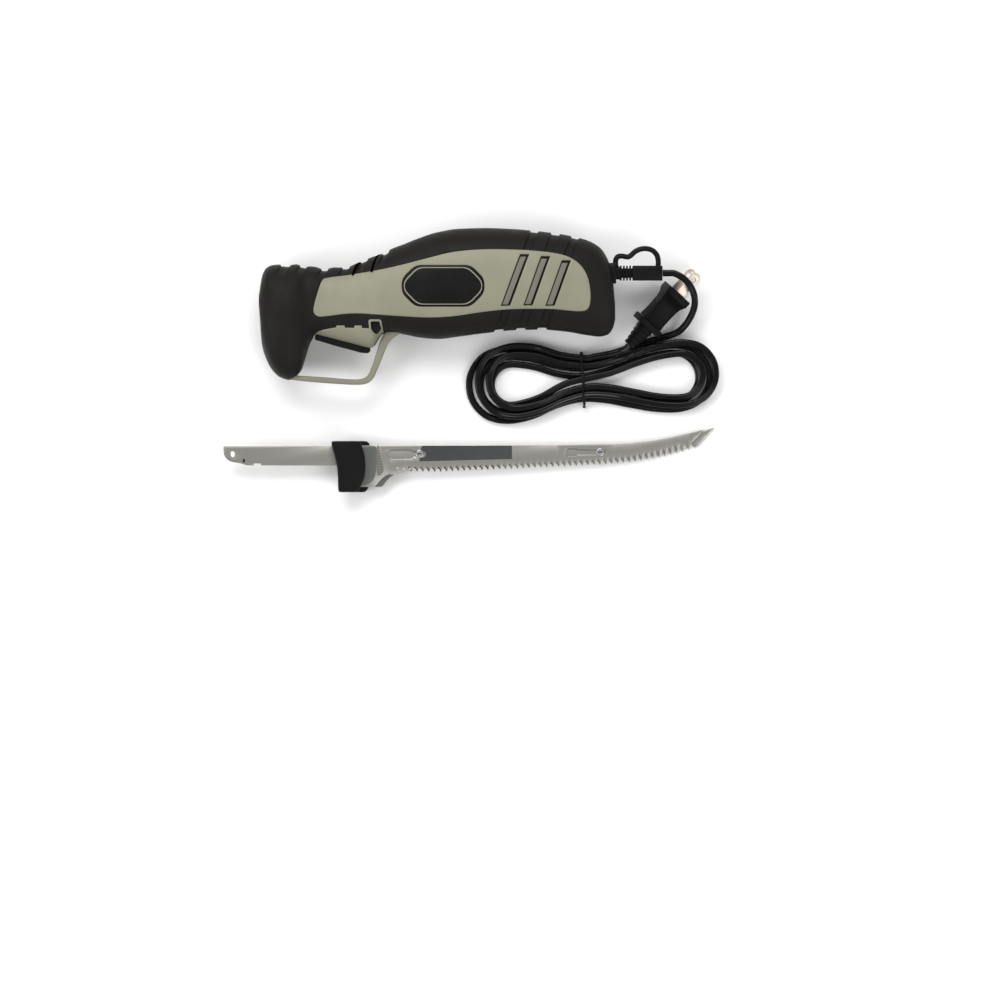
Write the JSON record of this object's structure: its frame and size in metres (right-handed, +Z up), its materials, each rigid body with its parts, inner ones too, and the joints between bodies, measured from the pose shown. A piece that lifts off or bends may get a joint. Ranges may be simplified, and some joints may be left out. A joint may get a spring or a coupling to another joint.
{
  "type": "electric fillet knife",
  "caption": "Corded electric fillet knife lying on its side, with its paired reciprocating saw blades beside it and its cord folded into a tied hank.",
  "frame": {"origin": "the floor below the middle of the handle and the blade pair, the free cord left out", "axes": "+X from the handle's nose to its cord end, +Y up the handle, from the blades to the handle's top, +Z up from the floor"},
  "size_m": [0.3267, 0.1742, 0.0466],
  "materials": {
    "overmold_rubber": "satin black, soft touch",
    "shell_plastic": "satin tan-grey",
    "screen_mesh": "fine woven mesh",
    "black_plastic": "satin black",
    "cord_rubber": "glossy black",
    "blade_steel": "brushed",
    "bright_steel": "bright",
    "lamination_steel": "plain",
    "copper_wire": "bright",
    "brass": "bright",
    "carbon": "matt",
    "white_nylon": "natural"
  },
  "bodies": {
    "handle_body": {"badge_left": "black_plastic", "badge_right": "black_plastic", "blade_port_frame": "black_plastic", "blade_rear": "blade_steel", "blade_rivet_1": "bright_steel", "blade_rivet_2": "bright_steel", "brush_holder_left": "brass", "brush_holder_right": "brass", "brush_left": "carbon", "brush_right": "carbon", "brush_spring_left": "bright_steel", "brush_spring_right": "bright_steel", "cord_hank": "cord_rubber", "cord_lead": "cord_rubber", "cord_tail": "cord_rubber", "cord_tie": "black_plastic", "field_coil_lower": "copper_wire", "field_coil_upper": "copper_wire", "front_bearing": "brass", "gear_axle": "bright_steel", "hilt_rear": "black_plastic", "housing_left": "shell_plastic", "housing_right": "shell_plastic", "housing_screw_1": "bright_steel", "housing_screw_2": "bright_steel", "housing_screw_3": "bright_steel", "housing_screw_4": "bright_steel", "motor_stator": "lamination_steel", "overmold_left": "overmold_rubber", "overmold_right": "overmold_rubber", "plug_body": "black_plastic", "plug_prong_1": "brass", "plug_prong_2": "brass", "rear_bearing": "brass", "strain_relief": "black_plastic", "switch_body": "black_plastic", "trigger_guard": "shell_plastic", "trigger_pivot_pin": "bright_steel", "vent_screen_left_1": "screen_mesh", "vent_screen_left_2": "screen_mesh", "vent_screen_left_3": "screen_mesh", "vent_screen_right_1": "screen_mesh", "vent_screen_right_2": "screen_mesh", "vent_screen_right_3": "screen_mesh"},
    "trigger_lever": {"trigger": "black_plastic", "trigger_spring": "bright_steel"},
    "lock_button": {"trigger_lock_button": "black_plastic"},
    "armature": {"motor_shaft": "bright_steel", "armature_core": "lamination_steel", "armature_winding_front": "copper_wire", "armature_winding_rear": "copper_wire", "commutator": "copper_wire", "cooling_fan": "black_plastic"},
    "drive_gear": {"worm_gear": "white_nylon"},
    "left_driver": {"blade_driver_left": "white_nylon"},
    "right_driver": {"blade_driver_right": "white_nylon"},
    "front_blade": {"blade_front": "blade_steel", "hilt_front": "black_plastic"},
    "plunger": {"switch_plunger": "white_nylon"}
  },
  "joints": [
    {"name": "trigger_pull", "type": "hinge", "parent": "handle_body", "child": "trigger_lever", "pos_m": [-0.09589, 0.0208, 0.023], "axis": [0, 0, 1], "range_deg": [0, 5.5], "stiffness_Nm_per_rad": 0.3, "springref_deg": -8.59},
    {"name": "trigger_lock", "type": "slide", "parent": "handle_body", "child": "lock_button", "axis": [0, 0, 1], "range_m": [0, 0.003]},
    {"name": "armature_spin", "type": "hinge", "parent": "handle_body", "child": "armature", "pos_m": [-0.02589, 0.0522, 0.023], "axis": [1, 0, 0], "continuous": true},
    {"name": "worm_gear_spin", "type": "hinge", "parent": "handle_body", "child": "drive_gear", "pos_m": [-0.02589, 0.0362, 0.023], "axis": [0, 0, 1], "continuous": true},
    {"name": "left_driver_slide", "type": "slide", "parent": "handle_body", "child": "left_driver", "axis": [1, 0, 0], "range_m": [-0.004, 0.004]},
    {"name": "right_driver_slide", "type": "slide", "parent": "handle_body", "child": "right_driver", "axis": [1, 0, 0], "range_m": [-0.004, 0.004]},
    {"name": "blade_slide", "type": "slide", "parent": "handle_body", "child": "front_blade", "axis": [0.9993, 0, -0.037], "range_m": [-0.002, 0.014]},
    {"name": "plunger_slide", "type": "slide", "parent": "handle_body", "child": "plunger", "axis": [0, 1, 0], "range_m": [0, 0.00155]}
  ],
  "couplings": [
    {"joint": "worm_gear_spin", "follows": "armature_spin", "ratio": 0.041667},
    {"joint": "right_driver_slide", "follows": "left_driver_slide", "ratio": -1},
    {"joint": "plunger_slide", "follows": "trigger_pull", "m_per_rad": 0.016}
  ]
}
